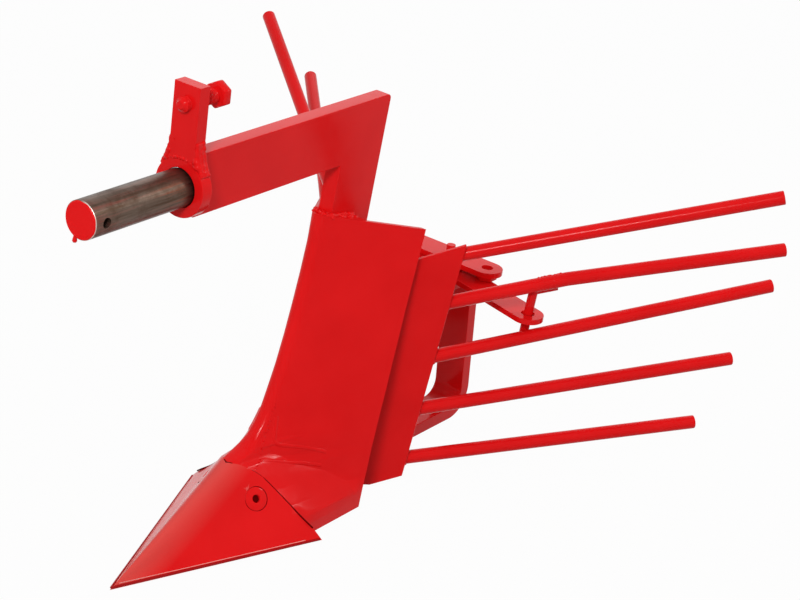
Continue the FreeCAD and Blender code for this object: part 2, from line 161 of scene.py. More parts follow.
def makeEnamel(name, settings, wearAndSheen=None):
    material, tree, output, place = newMaterial(name)
    cloud = addNode(tree, "ShaderNodeTexNoise", {"Scale": 1 / (settings["cloudMm"] * mm), "Detail": 3.0},
                    Vector=place).outputs["Fac"]
    peel = addNode(tree, "ShaderNodeTexNoise", {"Scale": 1 / (settings["peelMm"] * mm), "Detail": 1.0},
                   Vector=place).outputs["Fac"]
    nib = addNode(tree, "ShaderNodeTexVoronoi", {"Scale": 1 / (settings["nibMm"] * mm)}, Vector=place)
    nibHeight = ramp(tree, nib.outputs["Distance"], 0.0, settings["nibSize"], 1.0, 0.0)
    colour = mixColour(tree, ramp(tree, cloud, *settings["cloudRange"]), linear(settings["body"]),
                       linear(settings["thin"]))
    scuff = addNode(tree, "ShaderNodeTexNoise", {"Scale": 1 / (settings["scuffMm"] * mm), "Detail": 6.0,
                                                 "Roughness": 0.7}, Vector=place).outputs["Fac"]
    scuffed = ramp(tree, scuff, *settings["scuffRange"], 0.0, settings["scuffStrength"])
    colour = mixColour(tree, scuffed, colour, linear(settings["dull"]))
    gloss = ramp(tree, scuff, *settings["matRange"], settings["roughness"],
                 settings["roughness"] + settings["matRoughness"])
    if wearAndSheen:
        sharp = addNode(tree, "ShaderNodeNewGeometry").outputs["Pointiness"]
        edge = addNode(tree, "ShaderNodeMath", {"operation": "MULTIPLY"})
        tree.links.new(ramp(tree, sharp, *wearAndSheen["sharpRange"]), edge.inputs[0])
        tree.links.new(ramp(tree, scuff, *wearAndSheen["patchRange"]), edge.inputs[1])
        rub = ramp(tree, edge.outputs[0], *wearAndSheen["rubRange"], 0.0, wearAndSheen["amount"])
        colour = mixColour(tree, rub, colour, linear(wearAndSheen["edge"]))
        # a pale band along the crest: painted reflection
        aside = addNode(tree, "ShaderNodeMath", {"operation": "ABSOLUTE"})
        tree.links.new(addNode(tree, "ShaderNodeSeparateXYZ", Vector=place).outputs["X"], aside.inputs[0])
        near, far = wearAndSheen["crestSheenMm"]
        crest = ramp(tree, aside.outputs[0], near * mm, far * mm, wearAndSheen["amount"], 0.0)
        colour = mixColour(tree, crest, colour, linear(wearAndSheen["crest"]))
    peelBump = addNode(tree, "ShaderNodeBump", {"Strength": settings["peelStrength"],
                                                "Distance": settings["peelDepthMm"] * mm}, Height=peel)
    nibBump = addNode(tree, "ShaderNodeBump", {"Strength": settings["nibStrength"],
                                               "Distance": settings["nibHeightMm"] * mm},
                      Height=nibHeight, Normal=peelBump.outputs["Normal"])
    shader = addNode(tree, "ShaderNodeBsdfPrincipled", {"IOR": settings["ior"]}, Base_Color=colour,
                     Roughness=gloss, Normal=nibBump.outputs["Normal"])
    tree.links.new(shader.outputs[0], output.inputs["Surface"])
    return material


redEnamel = makeEnamel("sprayedRedEnamel", enamel)
# the share's enamel has real edge wear and a painted reflection along its crest
shareEnamel = makeEnamel("rubbedAndSheenRedEnamel", enamel, shareWearAndSheen)

# Bright drawn mild steel bar with a brown rust film: drawing lines run along it, rust and handling marks are
# drawn out the same way, and red overspray has drifted on to it near the painted end. Places are along the
# bar in mm, from the ring's front face at 0.
shaftSteel = {
    "clean": "6F6157",
    "brown": "4C382B",
    "dark": "24221D",
    "rust": "7A3A20",
    "spray": "8E3226",
    # pale colour of the bare rim, a painted highlight
    "rim": "D8CCC2",
    "paint": "DE0E10",
    "streakMm": (3.0, 70.0),   # across and along the bar
    "streakRange": (0.35, 0.68),
    "streakDepthMm": 0.12,
    "streakStrength": 0.4,
    "blotchMm": 22.0,
    "blotchRange": (0.5, 0.68),
    "blotchStrength": 0.8,
    "metallic": 0.75,
    "roughness": (0.3, 0.5),
    "specular": 0.1,           # of the paint and the film, while the metal's comes from its colour
    "rustAt": (-55.0, -20.0),  # none before the first, full past the second
    "rustRange": (0.5, 0.66),
    "rustStrength": 0.75,
    "darkAt": (-14.0, 1.0),    # darker against the ring
    "darkStrength": 0.8,
    "darkRange": (0.3, 0.75),
    "darkSwing": (-0.25, 0.25),
    "endAt": -103.7,           # the edge of the painted end
    "endSoftness": 0.1,
    "endRagged": (-0.9, 0.12),
    "sprayReach": 70.0,
    "sprayStart": 0.42,
    "spraySwing": (-0.3, 0.5),
    "sprayStreaks": (0.42, 0.72),
    "sprayRange": (0.25, 0.75),
    "sprayStrength": 0.4,
    "rimReach": (0.9, 1.2),    # bare rim behind the painted edge, made pale as a painted highlight
    "rimHighlightStrength": 0.8,
    "highlightSide": (-2.0, 5.0),    # the painted highlight on one side of the bar only
    "noiseRange": (0.3, 0.7),
}


def makeShaftSteel(name, settings):
    material, tree, output, place = newMaterial(name)
    across, alongBar = settings["streakMm"]
    stretched = addNode(tree, "ShaderNodeMapping", {"Scale": (1 / (across * mm), 1 / (alongBar * mm),
                                                              1 / (across * mm))}, Vector=place)
    streak = addNode(tree, "ShaderNodeTexNoise", {"Scale": 1.0, "Detail": 5.0, "Roughness": 0.65},
                     Vector=stretched.outputs[0]).outputs["Fac"]
    blotch = addNode(tree, "ShaderNodeTexNoise", {"Scale": 1 / (settings["blotchMm"] * mm), "Detail": 6.0,
                                                  "Roughness": 0.7}, Vector=place).outputs["Fac"]
    position = addNode(tree, "ShaderNodeSeparateXYZ", Vector=place)
    along = position.outputs["Y"]
    end = settings["endAt"]

    colour = mixColour(tree, ramp(tree, streak, *settings["streakRange"]), linear(settings["brown"]),
                       linear(settings["clean"]))
    blotched = ramp(tree, blotch, *settings["blotchRange"], 0.0, settings["blotchStrength"])
    colour = mixColour(tree, blotched, colour, linear(settings["brown"]))

    rusty = addNode(tree, "ShaderNodeMath", {"operation": "MULTIPLY"})
    tree.links.new(ramp(tree, along, *(at * mm for at in settings["rustAt"])), rusty.inputs[0])
    tree.links.new(ramp(tree, streak, *settings["rustRange"]), rusty.inputs[1])
    colour = mixColour(tree, ramp(tree, rusty.outputs[0], 0.0, 1.0, 0.0, settings["rustStrength"]), colour,
                       linear(settings["rust"]))

    nearRing = addNode(tree, "ShaderNodeMath", {"operation": "ADD"})
    tree.links.new(ramp(tree, along, *(at * mm for at in settings["darkAt"]), 0.0, settings["darkStrength"]),
                   nearRing.inputs[0])
    tree.links.new(ramp(tree, streak, *settings["noiseRange"], *settings["darkSwing"]), nearRing.inputs[1])
    colour = mixColour(tree, ramp(tree, nearRing.outputs[0], *settings["darkRange"]), colour,
                       linear(settings["dark"]))

    drift = addNode(tree, "ShaderNodeMath", {"operation": "ADD"})
    tree.links.new(ramp(tree, along, end * mm, (end + settings["sprayReach"]) * mm,
                        settings["sprayStart"], 0.0), drift.inputs[0])
    tree.links.new(ramp(tree, streak, *settings["sprayStreaks"], *settings["spraySwing"]), drift.inputs[1])
    sprayed = ramp(tree, drift.outputs[0], *settings["sprayRange"], 0.0, settings["sprayStrength"])
    colour = mixColour(tree, sprayed, colour, linear(settings["spray"]))

    # bare rim past the painted end, pale on one side as a painted highlight
    rim = addNode(tree, "ShaderNodeMath", {"operation": "MULTIPLY"})
    tree.links.new(ramp(tree, along, *((end + reach) * mm for reach in settings["rimReach"]),
                        settings["rimHighlightStrength"], 0.0), rim.inputs[0])
    tree.links.new(ramp(tree, position.outputs["X"], *(x * mm for x in settings["highlightSide"])), rim.inputs[1])
    colour = mixColour(tree, rim.outputs[0], colour, linear(settings["rim"]))

    ragged = addNode(tree, "ShaderNodeMath", {"operation": "ADD"})
    tree.links.new(along, ragged.inputs[0])
    tree.links.new(ramp(tree, blotch, *settings["noiseRange"], *(d * mm for d in settings["endRagged"])),
                   ragged.inputs[1])
    painted = ramp(tree, ragged.outputs[0], (end - settings["endSoftness"]) * mm,
                   (end + settings["endSoftness"]) * mm, 1.0, 0.0)
    colour = mixColour(tree, painted, colour, linear(settings["paint"]))

    bump = addNode(tree, "ShaderNodeBump", {"Strength": settings["streakStrength"],
                                            "Distance": settings["streakDepthMm"] * mm}, Height=streak)
    shader = addNode(tree, "ShaderNodeBsdfPrincipled", {"Specular IOR Level": settings["specular"]},
                     Base_Color=colour, Metallic=ramp(tree, painted, 0.0, 1.0, settings["metallic"], 0.0),
                     Roughness=ramp(tree, blotch, *settings["noiseRange"], *settings["roughness"]),
                     Normal=bump.outputs["Normal"])
    tree.links.new(shader.outputs[0], output.inputs["Surface"])
    return material


bareSteel = makeShaftSteel("drawnSteelBar", shaftSteel)
print("materials ready")


def finishPiece(bm, name, body, material, smoothDegrees=42, keepNormals=False):
    # turns a bmesh into a piece that rides on a body
    if not keepNormals:
        bmesh.ops.recalc_face_normals(bm, faces=bm.faces)
    mesh = bpy.data.meshes.new(name)
    for face in bm.faces:
        face.smooth = True
    for edge in bm.edges:
        edge.smooth = len(edge.link_faces) < 2 or edge.calc_face_angle(0) < math.radians(smoothDegrees)
    bm.to_mesh(mesh)
    bm.free()
    mesh.materials.append(material)
    piece = bpy.data.objects.new(name, mesh)
    bpy.context.scene.collection.objects.link(piece)
    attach(piece, body)
    return piece


# Bars, plates and rods are the CAD shapes with their corners eased, as dressed and painted steel has them.
easing = {
    "default": 0.7,         # mm off each sharp corner
    "share": 1.0,
    "beam": 0.9,
    "shank": 0.9,
    "stop_lever": 1.3,
    "hitch_shaft": 0.0,
    "hinge_pins": 0.4,
    "adjuster_peg": 0.4,
    "share_nuts": 0.4,
    "staple_left": 0.3,
    "staple_right": 0.3,
    "sharpDegrees": 38,     # a corner sharper than this is eased
    "flatDegrees": 0.6,     # faces that meet flatter than this become one
    "mergeMm": 0.002,
    "segments": 2,
}
replacedElsewhere = ("share_bolts", "set_screw", "adjuster_nut")
groundFlush = {"beam": "shank", "shank": "beam"}    # their weld is ground off, so it shows no groove


def bodyOfNode(node):
    for bodyName, nodes in frame["record"]["behaviour"]["bodies"].items():
        if node in nodes:
            return bodyName
    return "plough_frame"


def mergedCopy(node):
    bm = bmesh.new()
    bm.from_mesh(frame["nodes"][node].data)
    bmesh.ops.remove_doubles(bm, verts=bm.verts, dist=easing["mergeMm"] * mm)
    return bm


def placeOf(vert):
    # to a hundredth of a millimetre, so that corners of two nodes compare
    return tuple(round(c, 5) for c in vert.co)


def easedCopy(node, amount):
    bm = mergedCopy(node)
    shared = set()
    if node in groundFlush:
        shared = {placeOf(vert) for vert in frame["nodes"][groundFlush[node]].data.vertices}
    bmesh.ops.dissolve_limit(bm, angle_limit=math.radians(easing["flatDegrees"]), verts=bm.verts,
                             edges=bm.edges, use_dissolve_boundaries=False, delimit=set())
    if amount:
        sharp = [e for e in bm.edges if len(e.link_faces) == 2
                 and abs(e.calc_face_angle_signed(0)) > math.radians(easing["sharpDegrees"])
                 and not all(placeOf(v) in shared for v in e.verts)]
        bmesh.ops.bevel(bm, geom=sharp, offset=amount * mm, offset_type="OFFSET", affect="EDGES",
                        segments=easing["segments"], profile=0.5, clamp_overlap=True, material=-1)
    return bm


for node in frame["nodes"]:
    if node in replacedElsewhere:
        continue
    steel = bareSteel if node == "hitch_shaft" else shareEnamel if node == "share" else redEnamel
    bm = easedCopy(node, easing.get(node, easing["default"]))
    piece = finishPiece(bm, node + "_painted", bodyOfNode(node), steel,
                        keepNormals=True)
    piece.modifiers.new("flatFaces", "WEIGHTED_NORMAL").keep_sharp = True
    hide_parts(node)
print("bars and plates eased")


def onSide(side, spot):
    # a place or direction given for the left side, on the left (1) or the right (-1)
    return side * spot[0], spot[1], spot[2]


def frameFor(centre, axis):
    # places a shape made about Z at a centre in mm, with its Z along the axis
    turn = Vector((0, 0, 1)).rotation_difference(Vector(axis).normalized()).to_matrix().to_4x4()
    return Matrix.Translation(Vector(centre) * mm) @ turn


def turned(bm, profile, centre, axis, steps=40):
    # profile is (radius, distance along the axis) in mm, from the axis and back to it
    verts = [bm.verts.new((radius * mm, 0, height * mm)) for radius, height in profile]
    edges = [bm.edges.new(pair) for pair in zip(verts, verts[1:])]
    bmesh.ops.spin(bm, geom=verts + edges, cent=(0, 0, 0), axis=(0, 0, 1), angle=math.tau, steps=steps,
                   use_merge=True)
    # the spun shape is all that hangs together with the profile
    reached = set(verts)
    border = list(verts)
    while border:
        for edge in border.pop().link_edges:
            for vert in edge.verts:
                if vert not in reached:
                    reached.add(vert)
                    border.append(vert)
    bmesh.ops.remove_doubles(bm, verts=list(reached), dist=0.001 * mm)
    kept = [v for v in reached if v.is_valid]
    bmesh.ops.transform(bm, matrix=frameFor(centre, axis), verts=kept)


def hexagonal(bm, acrossFlats, low, high, centre, axis, ease, bore=0.0):
    # a hexagon bar between two distances along the axis, with eased corners and an open bore if one is given
    cornerAngle = 0.5    # radians, above it two faces meet in a corner that is eased
    radius = acrossFlats / math.sqrt(3)
    made = bmesh.ops.create_circle(bm, cap_ends=not bore, segments=6, radius=radius * mm)["verts"]
    bmesh.ops.translate(bm, vec=(0, 0, low * mm), verts=made)
    if bore:
        inner = bmesh.ops.create_circle(bm, segments=6, radius=bore * mm)["verts"]
        bmesh.ops.translate(bm, vec=(0, 0, low * mm), verts=inner)
        loops = list({e for v in made + inner for e in v.link_edges})
        faces = bmesh.ops.bridge_loops(bm, edges=loops)["faces"]
        made = made + inner
    else:
        faces = list({f for v in made for f in v.link_faces})
    raised = bmesh.ops.extrude_face_region(bm, geom=faces)["geom"]
    top = [g for g in raised if isinstance(g, bmesh.types.BMVert)]
    bmesh.ops.translate(bm, vec=(0, 0, (high - low) * mm), verts=top)
    whole = made + top
    edges = list({e for v in whole for e in v.link_edges if e.calc_face_angle(0) > cornerAngle})
    eased = bmesh.ops.bevel(bm, geom=edges, offset=ease * mm, offset_type="OFFSET", affect="EDGES",
                            segments=2, profile=0.5, clamp_overlap=True, material=-1)
    verts = {v for v in whole if v.is_valid} | set(eased["verts"])
    bmesh.ops.transform(bm, matrix=frameFor(centre, axis), verts=list(verts))


def threaded(start, end, radius, pitch, depth):
    # a lathe profile of grooves, each thread's flat crest lying between two parts of its pitch
    crest = (0.35, 0.65)
    points = []
    steps = int((end - start) / pitch)
    for index in range(steps):
        low = start + index * pitch
        points += [(radius - depth, low)] + [(radius, low + part * pitch) for part in crest]
    return points + [(radius - depth, start + steps * pitch)]


screw = {
    "centre": (0.0, 0.0, 66.0),
    "axis": (0, 1, 0),
    "radius": 6.0,
    "pitch": 1.75,
    "threadDepth": 0.8,
    "front": -7.0,
    "pointRadii": (3.0, 4.6),    # at the point's face, and where its cone ends
    "pointLength": 2.3,
    "threadStart": 2.5,          # behind the front
    "neckRadius": 5.6,
    "underHead": 32.0,
    "neck": 1.0,                 # the thread ends this far before the head, and the bar runs this far into it
    "washerRadii": (8.9, 9.1),
    "washerHeights": (0.7, 0.8),
    "acrossFlats": 19.0,
    "headBase": 0.5,
    "headTop": 39.9,
    "ease": 1.1,
}
bm = bmesh.new()
front, head = screw["front"], screw["underHead"]
turned(bm, [(0.0, front), (screw["pointRadii"][0], front),
            (screw["pointRadii"][1], front + screw["pointLength"])]
       + threaded(front + screw["threadStart"], head - screw["neck"], screw["radius"], screw["pitch"],
                  screw["threadDepth"])
       + [(screw["neckRadius"], head + screw["neck"]), (0.0, head + screw["neck"])], screw["centre"],
       screw["axis"])
turned(bm, [(0.0, head), (screw["washerRadii"][0], head),
            (screw["washerRadii"][1], head + screw["washerHeights"][0]),
            (0.0, head + screw["washerHeights"][1])], screw["centre"], screw["axis"])
hexagonal(bm, screw["acrossFlats"], head + screw["headBase"], screw["headTop"], screw["centre"],
          screw["axis"], screw["ease"])
piece = finishPiece(bm, "setScrew_painted", "plough_frame", redEnamel)
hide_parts("set_screw")

adjusterNut = {"centre": (39.0, 388.0, 0.0), "acrossFlats": 17.0, "bore": 5.1, "bottom": -167.9,
               "top": -162.6, "ease": 0.5}
bm = bmesh.new()
hexagonal(bm, adjusterNut["acrossFlats"], adjusterNut["bottom"], adjusterNut["top"], adjusterNut["centre"],
          (0, 0, 1), adjusterNut["ease"], adjusterNut["bore"])
piece = finishPiece(bm, "adjusterNut_painted", "plough_frame", redEnamel)
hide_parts("adjuster_nut")

# heights are along the bolt's axis from the share's face
shareBolt = {
    "centre": (27.0, 101.0, -291.1),
    "outward": (0.7755, -0.308, 0.551),
    "headRadius": 9.9,
    "headFlat": 1.2,         # the crown falls away this far in from the edge
    "crownDrop": 0.15,
    "edgeDrop": 0.7,
    "headBottom": -2.5,
    "proud": 0.8,
    "socketRadius": 3.3,
    "socketDepth": 3.0,
    "socketChamfer": 0.5,
    "shankRadius": 5.0,
    "shankChamfer": 0.7,
    "length": 21.5,
}
bm = bmesh.new()
proud, socket, shank = shareBolt["proud"], shareBolt["socketRadius"], shareBolt["shankRadius"]
bottom, tip = proud - shareBolt["socketDepth"], -shareBolt["length"]
boltProfile = [
    (0.0, bottom), (socket, bottom),
    (socket, proud - shareBolt["socketChamfer"]), (socket + shareBolt["socketChamfer"], proud),
    (shareBolt["headRadius"] - shareBolt["headFlat"], proud - shareBolt["crownDrop"]),
    (shareBolt["headRadius"], proud - shareBolt["edgeDrop"]),
    (shareBolt["headRadius"], shareBolt["headBottom"]),
    (shank, shareBolt["headBottom"]), (shank, tip + shareBolt["shankChamfer"]),
    (shank - shareBolt["shankChamfer"], tip), (0.0, tip)]
for side in (1, -1):
    turned(bm, boltProfile, onSide(side, shareBolt["centre"]), onSide(side, shareBolt["outward"]), steps=42)
piece = finishPiece(bm, "shareBolts_painted", "plough_frame", redEnamel)
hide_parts("share_bolts")
print("bolts and nuts made")


def surfaceOf(node):
    bm = mergedCopy(node)
    tree = BVHTree.FromBMesh(bm)
    bm.free()
    return tree


def justAbove(tree, point, lift):
    # the nearest place on a surface, lifted off it by lift in mm
    hit, normal = tree.find_nearest(Vector(point) * mm)[:2]
    return tuple(hit / mm + normal * lift)


bodySurface = surfaceOf("mouldboard")
shareSurface = surfaceOf("share")

# Weld beads are overlapping ripples of metal, joined and softened by the paint over them.
bead = {
    "seed": 7,
    "step": 2.6,                # from one ripple to the next
    "wobble": 0.25,
    "sizes": (0.86, 1.14),      # of the bead's radius
    "rippleLength": 0.72,       # of its width
    "spatterRadii": (0.5, 1.1),
    "voxel": 0.8,
    "softening": 3,
    "softenFactor": 0.5,
    "smoothDegrees": 80,
}
dice = random.Random(bead["seed"])


def ripple(bm, centre, along, length, width):
    made = bmesh.ops.create_icosphere(bm, subdivisions=2, radius=1.0)["verts"]
    turn = Vector((1, 0, 0)).rotation_difference(along).to_matrix().to_4x4() if along.length else Matrix()
    shape = Matrix.Diagonal((length * mm, width * mm, width * mm, 1))
    bmesh.ops.transform(bm, matrix=Matrix.Translation(centre * mm) @ turn @ shape, verts=made)


def layBead(bm, points, radius, step=bead["step"], wobble=bead["wobble"]):
    # points in mm, one ripple every step
    points = [Vector(p) for p in points]
    for start, end in zip(points, points[1:]):
        run = end - start
        count = max(int(run.length / step), 1)
        for index in range(count + 1):
            swing = Vector((dice.uniform(-1, 1), dice.uniform(-1, 1), dice.uniform(-1, 1))) * wobble
            size = radius * dice.uniform(*bead["sizes"])
            ripple(bm, start + run * (index / count) + swing, run.normalized(),
                   size * bead["rippleLength"], size)


def spatter(bm, centre, spread, count, radii=bead["spatterRadii"]):
    # loose beads thrown round a weld, within a box of half sizes spread
    for _ in range(count):
        place = Vector(c + dice.uniform(-s, s) for c, s in zip(centre, spread))
        size = dice.uniform(*radii)
        ripple(bm, place, Vector((1, 0, 0)), size, size)


def weldPiece(bm, name, body, voxel=bead["voxel"], softening=bead["softening"]):
    # the ripples become one skin
    rough = bpy.data.meshes.new(name + "Rough")
    bm.to_mesh(rough)
    bm.free()
    holder = bpy.data.objects.new(name + "Rough", rough)
    bpy.context.scene.collection.objects.link(holder)
    skin = holder.modifiers.new("skin", "REMESH")
    skin.mode = "VOXEL"
    skin.voxel_size = voxel * mm
    calm = holder.modifiers.new("paint", "SMOOTH")
    calm.factor = bead["softenFactor"]
    calm.iterations = softening
    depsgraph = bpy.context.evaluated_depsgraph_get()
    made = bpy.data.meshes.new_from_object(holder.evaluated_get(depsgraph))
    bpy.data.objects.remove(holder)
    bm = bmesh.new()
    bm.from_mesh(made)
    return finishPiece(bm, name, body, redEnamel, smoothDegrees=bead["smoothDegrees"])


# at the hitch: down both sides of the beam's front end, up the lever's foot in layers, and round the ring
hitchWelds = {
    "beamHalf": 7.0,
    "beamFront": 11.5,
    "beamReach": 21.0,
    "beamBead": 2.3,
    "beamLift": (0.6, 0.4),       # of the bead off the beam's side, and off its front
    "footDepths": (2.2, 5.5, 8.8),
    "footSide": ((12.2, 37.0), (12.9, 31.0), (14.6, 24.5), (17.0, 18.5), (19.5, 14.0)),
    "footFill": ((13.0, 26.0), (15.0, 20.0)),
    "footBeads": (2.3, 3.3),
    "footStep": 2.0,
    "footWobble": 0.2,
    "footSpatter": ((12.6, 6.0, 29.0), (0.3, 4.0, 5.0), 5),
    "ringRadius": 23.5,
    "ringFront": 0.9,
    "ringDegrees": (-34, 35, 8),  # from, to and step
    "ringBead": 1.9,
    "ringWobble": 0.35,
    "topHeight": 25.3,
    "topLift": 0.5,
    "topBead": 2.2,
    "frontSpatter": ((0, 0.1, 30.0), (9.0, 0.2, 8.0), 9),
    "softening": 5,
}
bm = bmesh.new()
weld = hitchWelds
for side in (1, -1):
    x, y = side * (weld["beamHalf"] + weld["beamLift"][0]), weld["beamFront"] + weld["beamLift"][1]
    layBead(bm, [(x, y, -weld["beamReach"]), (x, y, weld["beamReach"])], weld["beamBead"])
    for depth in weld["footDepths"]:
        for path, radius in zip((weld["footSide"], weld["footFill"]), weld["footBeads"]):
            layBead(bm, [(side * x, depth, z) for x, z in path], radius, weld["footStep"], weld["footWobble"])
    centre, spread, count = weld["footSpatter"]
    spatter(bm, onSide(side, centre), spread, count)
arc = [math.radians(degrees) for degrees in range(*weld["ringDegrees"])]
layBead(bm, [(weld["ringRadius"] * math.sin(a), weld["ringFront"], weld["ringRadius"] * math.cos(a))
             for a in arc], weld["ringBead"], wobble=weld["ringWobble"])
layBead(bm, [(side * weld["beamHalf"], weld["beamFront"] + weld["topLift"], weld["topHeight"])
             for side in (-1, 1)], weld["topBead"])
spatter(bm, *weld["frontSpatter"])
weldPiece(bm, "hitchWelds_bead", "plough_frame", softening=weld["softening"])

# where the shank comes through the sloping top plate, with loose beads all round
topWelds = {
    "half": 8.6,
    "front": 185.2,
    "rear": 213.0,
    "height": -64.0,             # of the plate where its slope starts
    "slope": 0.1998,
    "slopeStart": 170.0,
    "lift": 0.4,
    "beadRadius": 2.6,
    "beadWobble": 0.6,
    "frontPath": ((-7, 3), (0, 4.2), (7, 3)),    # across, and forward of the shank's front
    "frontBead": 2.2,
    "sidePath": ((11.8, 196), (13.5, 204), (14.5, 212)),
    "sideBead": 1.9,
    "wobble": 0.7,
    "spatterAt": (0, 192),
    "spatterSpread": (12.0, 11.0, 0.3),
    "spatterCount": 26,
    "spatterRadii": (0.6, 1.3),
}
bm = bmesh.new()
weld = topWelds


def onTop(x, y, lift=topWelds["lift"]):
    return x, y, topWelds["height"] - topWelds["slope"] * (y - topWelds["slopeStart"]) + lift


layBead(bm, [onTop(-weld["half"], weld["rear"]), onTop(-weld["half"], weld["front"]),
             onTop(weld["half"], weld["front"]), onTop(weld["half"], weld["rear"])], weld["beadRadius"],
        wobble=weld["beadWobble"])
layBead(bm, [onTop(x, weld["front"] - forward) for x, forward in weld["frontPath"]], weld["frontBead"],
        wobble=weld["wobble"])
for side in (1, -1):
    layBead(bm, [onTop(side * x, y) for x, y in weld["sidePath"]], weld["sideBead"], wobble=weld["wobble"])
spatter(bm, onTop(*weld["spatterAt"], 0.0), weld["spatterSpread"], weld["spatterCount"], weld["spatterRadii"])
weldPiece(bm, "bodyTopWelds_bead", "plough_frame")

noseWeld = {
    "seam": ((6.6, 141.0, -224.0), (7.0, 134.7, -237.7), (7.9, 131.7, -244.7), (9.9, 124.9, -255.6),
             (13.1, 118.9, -266.2), (17.3, 109.5, -271.3)),
    "beadRadius": 1.0,
    "step": 3.1,
    "wobble": 0.7,
    "voxel": 0.5,
    "softening": 4,
}
bm = bmesh.new()
layBead(bm, [justAbove(bodySurface, point, 0.0) for point in noseWeld["seam"]], noseWeld["beadRadius"],
        noseWeld["step"], noseWeld["wobble"])
weldPiece(bm, "noseWelds_bead", "plough_frame", noseWeld["voxel"], noseWeld["softening"])

hinge = {"x": 15.5, "y": 216.0, "degrees": 45.0}


def onWing(side, run, depth, height):
    # a place on a wing from its distance along the plate and behind the hinge
    turn = math.radians(hinge["degrees"])
    return (side * (hinge["x"] + run * math.cos(turn) - depth * math.sin(turn)),
            hinge["y"] + run * math.sin(turn) + depth * math.cos(turn), height)


# each rod lies on the back of the wing plate, with a bead above and below it and one across its end
rodWelds = {
    "heights": (-109.4, -154.6, -206.3, -257.2, -306.1),
    "slopes": (0.342, 0.265, 0.230, 0.151, 0.115),
    "edgeBottom": (67.1, -319.8),    # where along the plate its outer edge ends, and how high
    "edgeLean": 0.1241,
    "lap": 27.0,
    "rodHalf": 6.2,
    "depth": 15.4,
    "edgeGap": 1.5,
    "beadRadius": 1.9,
    "acrossRun": 0.2,
    "acrossDepth": 15.0,
    "acrossHalf": 4,
    "acrossRadius": 1.8,
    "voxel": 0.9,
}
# places on the wing (run, depth, height) where the staple's two feet are welded to rods 2 and 3
stapleFeet = {
    "upper": ((164.0, 23.5, -129.5), (183.0, 23.5, -124.5)),
    "lower": ((161.0, 28.0, -190.3), (184.0, 28.0, -185.0)),
    "radii": (1.6, 2.4),
}
weld = rodWelds
for sideName, side in (("left", 1), ("right", -1)):
    bm = bmesh.new()
    for height, slope in zip(weld["heights"], weld["slopes"]):
        edge = weld["edgeBottom"][0] + weld["edgeLean"] * (height - weld["edgeBottom"][1])
        for up in (1, -1):
            level = height + up * weld["rodHalf"]
            layBead(bm, [onWing(side, edge - weld["lap"], weld["depth"], level - slope * weld["lap"]),
                         onWing(side, edge - weld["edgeGap"], weld["depth"], level)], weld["beadRadius"])
        across = [height + up * weld["acrossHalf"] for up in (-1, 1)]
        layBead(bm, [onWing(side, edge + weld["acrossRun"], weld["acrossDepth"], level) for level in across],
                weld["acrossRadius"])
    for foot, radius in zip(("upper", "lower"), stapleFeet["radii"]):
        layBead(bm, [onWing(side, *spot) for spot in stapleFeet[foot]], radius)
    weldPiece(bm, "rodWelds_" + sideName + "_bead", "wing_" + sideName, weld["voxel"])

tubeWelds = {"x": 8.3, "y": 216.0, "apart": 6.4, "top": -143.0, "bottom": -261.0, "beadRadius": 1.7,
             "voxel": 0.9}
bm = bmesh.new()
for side in (1, -1):
    for away in (1, -1):
        x, y = side * tubeWelds["x"], tubeWelds["y"] + away * tubeWelds["apart"]
        layBead(bm, [(x, y, tubeWelds["top"]), (x, y, tubeWelds["bottom"])], tubeWelds["beadRadius"])
weldPiece(bm, "hingeTubeWelds_bead", "plough_frame", tubeWelds["voxel"])
print("welds laid")


def tube(name, points, radius, material, body="plough_frame"):
    # a round line through points in mm, made a mesh
    curve = bpy.data.curves.new(name + "Line", "CURVE")
    curve.dimensions = "3D"
    curve.bevel_depth = radius * mm
    curve.bevel_resolution = 3
    curve.use_fill_caps = True
    spline = curve.splines.new("NURBS")
    spline.points.add(len(points) - 1)
    for spot, point in zip(spline.points, points):
        spot.co = (point[0] * mm, point[1] * mm, point[2] * mm, 1.0)
    spline.order_u = 3
    spline.use_endpoint_u = True
    spline.resolution_u = 6
    holder = bpy.data.objects.new(name + "Line", curve)
    bpy.context.scene.collection.objects.link(holder)
    made = bpy.data.meshes.new_from_object(holder.evaluated_get(bpy.context.evaluated_depsgraph_get()))
    bpy.data.objects.remove(holder)
    bm = bmesh.new()
    bm.from_mesh(made)
    return finishPiece(bm, name, body, material)


# a dark line along the joint round the share's rear edge: painted shadow
shareJointShadow = {
    "line": ((0.0, 90.4, -265.0), (4.7, 93.0, -264.8), (14.0, 102.3, -268.5), (22.7, 112.4, -276.7),
             (31.8, 119.2, -287.6), (44.2, 125.7, -299.4), (55.1, 130.3, -309.0), (63.0, 134.6, -316.0)),
    "radius": 0.6,
    "colour": "5A0506",
    "lift": 0.8,
}
# Painted shade for the narrow joint round the share and for the bolts' recesses: nearly black red, with no
# gloss.
paintedShade, tree, output, place = newMaterial("paintedJointShade")
shader = addNode(tree, "ShaderNodeBsdfDiffuse", {"Color": linear(shareJointShadow["colour"])})
tree.links.new(shader.outputs[0], output.inputs["Surface"])

half = [justAbove(shareSurface, point, shareJointShadow["lift"]) for point in shareJointShadow["line"]]
tube("shareJoint_line", [onSide(-1, spot) for spot in reversed(half[1:])] + half, shareJointShadow["radius"], paintedShade)

shareRim = {
    "tip": (0.0, -38.4, -330.4),
    "corner": (70.3, 136.6, -324.2),
    "rimShade": "A00C0E",
    "radius": 1.1,
    "parts": (0.0, 0.25, 0.5, 0.75, 1.0),         # of the way from the tip to the corner
    "rubbedHighlight": "E8A098",
    "wornRoughness": 0.5,
    "wornUp": 2.2,                                # above the rim
    "wornSunk": -0.08,
    "wornRadius": 0.26,
    "wornParts": (0.04, 0.3, 0.5, 0.7, 0.93),
}
